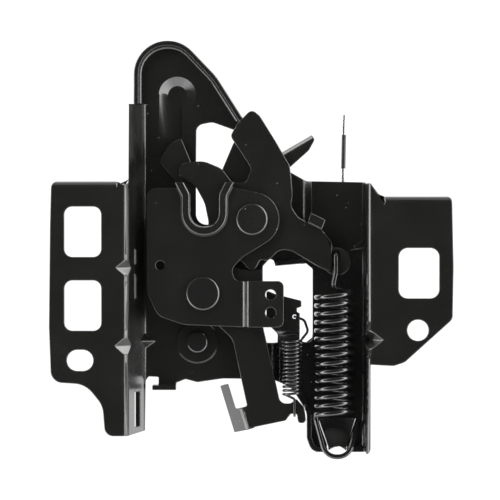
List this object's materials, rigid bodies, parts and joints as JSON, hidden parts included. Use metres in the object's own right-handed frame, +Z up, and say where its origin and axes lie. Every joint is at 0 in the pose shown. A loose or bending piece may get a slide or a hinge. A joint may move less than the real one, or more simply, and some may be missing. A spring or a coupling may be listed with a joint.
{
  "type": "bonnet latch",
  "caption": "Stamped-steel bonnet latch shown open: slotted bracket and cover, sprung fork bolt, pawl with cable tab, safety catch and extension springs.",
  "frame": {"origin": "the striker bar's place in the closed latch, in the fork's middle plane", "axes": "+Z up along the striker's way out, +X to the viewer's right, +Y away from the viewer"},
  "size_m": [0.2012, 0.031, 0.2095],
  "materials": {
    "black_paint": "gloss black coat",
    "dark_rivet": "gloss black coat over a formed head",
    "dark_washer": "satin black",
    "spring_wire": "gloss black coat",
    "rod_steel": "satin grey",
    "sleeve_plastic": "matt"
  },
  "bodies": {
    "frame": {"bracket": "black_paint", "cover_plate": "black_paint", "lower_rivet": "dark_rivet", "fork_pivot_rivet": "dark_rivet", "pawl_pivot_rivet": "dark_rivet", "fork_front_washer": "dark_washer", "fork_rear_washer": "dark_washer", "lever_bush": "dark_washer", "pawl_front_washer": "dark_washer", "pawl_rear_bush": "dark_washer", "pop_up_spring": "spring_wire", "pawl_return_spring": "spring_wire", "safety_return_spring": "spring_wire", "upright_rod": "rod_steel", "rod_sleeve": "sleeve_plastic"},
    "fork": {"fork_bolt": "black_paint"},
    "catch": {"safety_lever": "black_paint"},
    "detent": {"pawl": "black_paint"}
  },
  "joints": [
    {"name": "fork_swing", "type": "hinge", "parent": "frame", "child": "fork", "pos_m": [0.024, 0, -0.0065], "axis": [0, -1, 0], "range_deg": [0, 52], "stiffness_Nm_per_rad": 2, "springref_deg": -22.92, "deforming": ["pop_up_spring"]},
    {"name": "catch_swing", "type": "hinge", "parent": "frame", "child": "catch", "pos_m": [0.024, 0, -0.0065], "axis": [0, 1, 0], "range_deg": [0, 18], "stiffness_Nm_per_rad": 0.3, "springref_deg": -22.92, "deforming": ["safety_return_spring"]},
    {"name": "pawl_swing", "type": "hinge", "parent": "frame", "child": "detent", "pos_m": [-0.0005, 0, -0.0435], "axis": [0, 1, 0], "range_deg": [0, 12], "stiffness_Nm_per_rad": 0.8, "springref_deg": -17.19, "deforming": ["pawl_return_spring"]}
  ]
}
